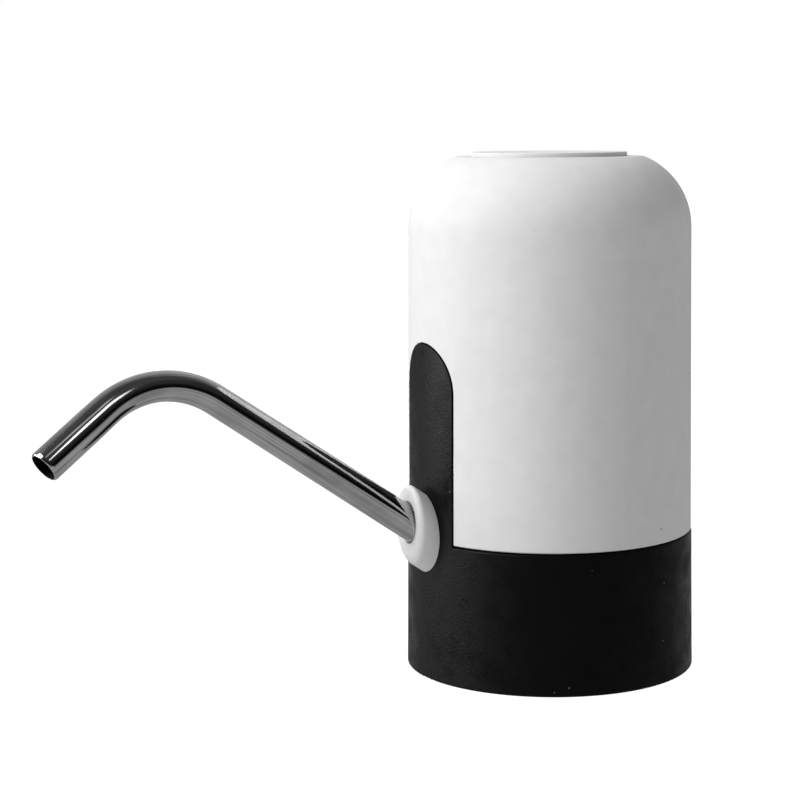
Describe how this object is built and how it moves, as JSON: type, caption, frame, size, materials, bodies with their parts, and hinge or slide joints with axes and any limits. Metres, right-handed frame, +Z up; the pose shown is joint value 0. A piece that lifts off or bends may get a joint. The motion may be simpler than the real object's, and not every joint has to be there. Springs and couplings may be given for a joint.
{
  "type": "electric water jug pump",
  "caption": "Battery pump that sits on a water jug's neck: round-shouldered housing with a top button, gear pump inside and a bent steel spout that swivels and pulls out.",
  "frame": {"origin": "on the jug neck's axis, in the plane of the base's bottom rim", "axes": "+Z up along the neck's axis, -Y towards the spout, +X to the right seen from the front"},
  "size_m": [0.0728, 0.173, 0.1303],
  "materials": {
    "white_plastic": "satin moulded",
    "black_plastic": "satin moulded",
    "grip_plastic": "moulded",
    "silicone": "soft, milky",
    "black_rubber": "soft",
    "natural_plastic": "moulded, unpigmented",
    "gear_plastic": "moulded",
    "carrier_plastic": "moulded",
    "polished_steel": "polished tube",
    "plated_steel": "plated",
    "insulator": "moulded",
    "brass": "bare",
    "magnet": "sintered",
    "armature": "wound and varnished",
    "cell_sleeve": "can in a shrunk film sleeve",
    "circuit_board": "solder mask",
    "switch_stem": "moulded",
    "led_lens": "clear dome",
    "lead_red": "insulated wire",
    "lead_black": "insulated wire"
  },
  "bodies": {
    "housing": {"upper_shell": "white_plastic", "spout_collar": "white_plastic", "base_ring": "black_plastic", "neck_sleeve": "grip_plastic", "neck_gasket": "silicone", "inlet_hose": "silicone", "outlet_hose": "silicone", "nipple_gasket": "black_rubber", "pump_gasket": "black_rubber", "shaft_seal": "black_rubber", "inlet_nipple": "natural_plastic", "nipple_nut": "natural_plastic", "outlet_elbow": "natural_plastic", "pump_body": "natural_plastic", "pump_cover": "natural_plastic", "carrier": "carrier_plastic", "carrier_screws": "plated_steel", "pump_screws": "plated_steel", "board_screws": "plated_steel", "charge_screws": "plated_steel", "idler_pin": "plated_steel", "motor_can": "plated_steel", "usb_socket": "plated_steel", "battery_tabs": "plated_steel", "motor_endcap": "insulator", "switch_body": "insulator", "motor_terminals": "brass", "motor_bushes": "brass", "motor_magnets": "magnet", "battery_cell": "cell_sleeve", "control_board": "circuit_board", "charge_board": "circuit_board", "status_leds": "led_lens", "motor_leads": "lead_red", "charge_leads": "lead_red", "battery_leads": "lead_black"},
    "button": {"button_cap": "white_plastic", "switch_plunger": "switch_stem"},
    "spout_seal": {"spout_bush": "silicone"},
    "spout": {"spout_tube": "polished_steel"},
    "rotor": {"motor_shaft": "plated_steel", "rotor_core": "armature", "commutator": "brass", "drive_gear": "gear_plastic"},
    "idler": {"driven_gear": "gear_plastic"}
  },
  "joints": [
    {"name": "button_press", "type": "slide", "parent": "housing", "child": "button", "axis": [0, 0, -1], "range_m": [0, 0.001], "stiffness_N_per_m": 1500, "springref_m": -0.0003},
    {"name": "spout_swivel", "type": "hinge", "parent": "housing", "child": "spout_seal", "pos_m": [0, -0.0406, 0.0396], "axis": [0, -0.829, 0.5592], "continuous": true},
    {"name": "spout_pull", "type": "slide", "parent": "spout_seal", "child": "spout", "axis": [0, -0.829, 0.5592], "range_m": [0, 0.015]},
    {"name": "motor_spin", "type": "hinge", "parent": "housing", "child": "rotor", "pos_m": [-0.0045, -0.0046, 0.06], "axis": [0, 0, 1], "continuous": true},
    {"name": "driven_spin", "type": "hinge", "parent": "housing", "child": "idler", "pos_m": [0.0045, -0.0046, 0.0571], "axis": [0, 0, 1], "continuous": true}
  ],
  "couplings": [
    {"joint": "driven_spin", "follows": "motor_spin", "ratio": -1}
  ]
}
